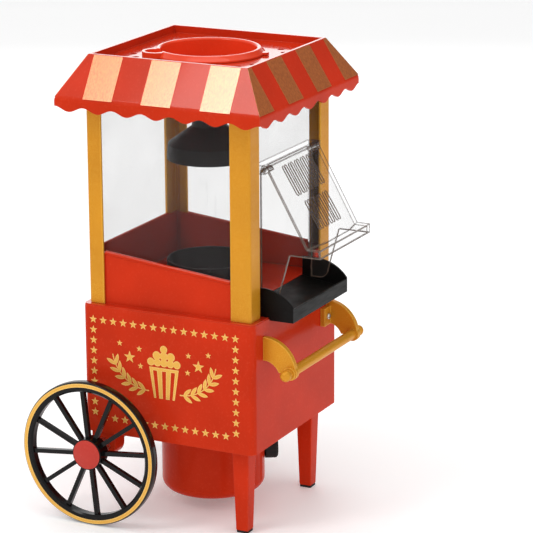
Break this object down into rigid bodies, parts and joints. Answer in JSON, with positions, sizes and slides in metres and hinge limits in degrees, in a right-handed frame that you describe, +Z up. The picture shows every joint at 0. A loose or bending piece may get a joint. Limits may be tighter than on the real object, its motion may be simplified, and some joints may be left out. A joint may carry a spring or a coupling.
{
  "type": "popcorn maker",
  "caption": "Cart-style hot-air popcorn maker: casing on legs and spoked wheels, clear cabinet with flap door and chute, awning roof with lift-off cup.",
  "frame": {"origin": "centre of the footprint's bounding box, on the surface the machine stands on", "axes": "+Z up, -Y towards the serving door and handle, +X to the right seen from behind the door side's viewer, so the decorated left side faces -X"},
  "size_m": [0.234, 0.273, 0.43],
  "materials": {
    "red_plastic": "glossy moulded",
    "gold_trim": "satin gold metallic coat",
    "gold_foil": "hot-stamped foil",
    "gold_print": "stamped gold print",
    "black_satin": "satin moulded",
    "black_gloss": "glossy moulded",
    "tyre_rubber": "smooth",
    "soft_rubber": "matte",
    "clear_plastic": "clear moulded",
    "plated_steel": "zinc plated",
    "motor_steel": "rolled sheet",
    "pressed_aluminium": "spun",
    "mica": "layered sheet",
    "nichrome": "drawn wire",
    "white_plastic": "moulded",
    "red_matte": "fine grained",
    "rocker_red": "glossy"
  },
  "bodies": {
    "cabinet": {"base_housing": "red_plastic", "bottom_pan": "red_plastic", "pan_screws": "plated_steel", "drum_housing": "red_plastic", "cord_gland": "soft_rubber", "popping_chamber": "pressed_aluminium", "chamber_collar": "black_satin", "heater_duct": "plated_steel", "heater_former": "mica", "heater_coil": "nichrome", "fan_motor": "motor_steel", "motor_bracket": "plated_steel", "thermostat": "white_plastic", "thermal_fuse": "plated_steel", "terminal_block": "white_plastic", "hopper_deck": "red_plastic", "post_front_left": "gold_trim", "post_front_right": "gold_trim", "post_rear_left": "gold_trim", "post_rear_right": "gold_trim", "upper_frame": "red_plastic", "window_left": "clear_plastic", "window_right": "clear_plastic", "window_rear": "clear_plastic", "front_pane": "clear_plastic", "door_hinge_pins": "plated_steel", "serving_chute": "black_satin", "roof_shell": "red_plastic", "roof_stripes": "gold_foil", "roof_screws": "plated_steel", "kettle": "black_satin", "kettle_screws": "plated_steel", "handle_bar": "gold_trim", "handle_bracket_left": "gold_trim", "handle_bracket_right": "gold_trim", "handle_knobs": "gold_trim", "handle_screws": "plated_steel", "leg_front_left": "red_plastic", "leg_front_right": "red_plastic", "axle_bracket_left": "red_plastic", "axle_bracket_right": "red_plastic", "leg_pads": "soft_rubber", "axle": "plated_steel", "axle_clips": "plated_steel", "switch_bezel": "black_satin", "rocker_pin": "plated_steel", "side_decals": "gold_print"},
    "door": {"serving_door": "clear_plastic"},
    "cup": {"measuring_cup": "red_plastic"},
    "left_wheel": {"wheel_left": "black_gloss", "tyre_left": "tyre_rubber", "wheel_stripe_left": "gold_print", "hub_cap_left": "red_matte"},
    "right_wheel": {"wheel_right": "black_gloss", "tyre_right": "tyre_rubber", "wheel_stripe_right": "gold_print", "hub_cap_right": "red_matte"},
    "fan": {"fan_impeller": "black_satin", "motor_shaft": "plated_steel"},
    "rocker": {"switch_rocker": "rocker_red"}
  },
  "joints": [
    {"name": "door_swing", "type": "hinge", "parent": "cabinet", "child": "door", "pos_m": [0, -0.0809, 0.335], "axis": [-1, 0, 0], "range_deg": [0, 70]},
    {"name": "cup_lift", "type": "slide", "parent": "cabinet", "child": "cup", "axis": [0, 0, 1], "range_m": [0, 0.06]},
    {"name": "left_wheel_spin", "type": "hinge", "parent": "cabinet", "child": "left_wheel", "pos_m": [-0.107, 0.0695, 0.068], "axis": [1, 0, 0], "continuous": true},
    {"name": "right_wheel_spin", "type": "hinge", "parent": "cabinet", "child": "right_wheel", "pos_m": [0.107, 0.0695, 0.068], "axis": [1, 0, 0], "continuous": true},
    {"name": "fan_spin", "type": "hinge", "parent": "cabinet", "child": "fan", "pos_m": [0, 0, 0.06], "axis": [0, 0, 1], "continuous": true},
    {"name": "switch_rock", "type": "hinge", "parent": "cabinet", "child": "rocker", "pos_m": [0.045, 0.085, 0.124], "axis": [1, 0, 0], "range_deg": [0, 16]}
  ]
}
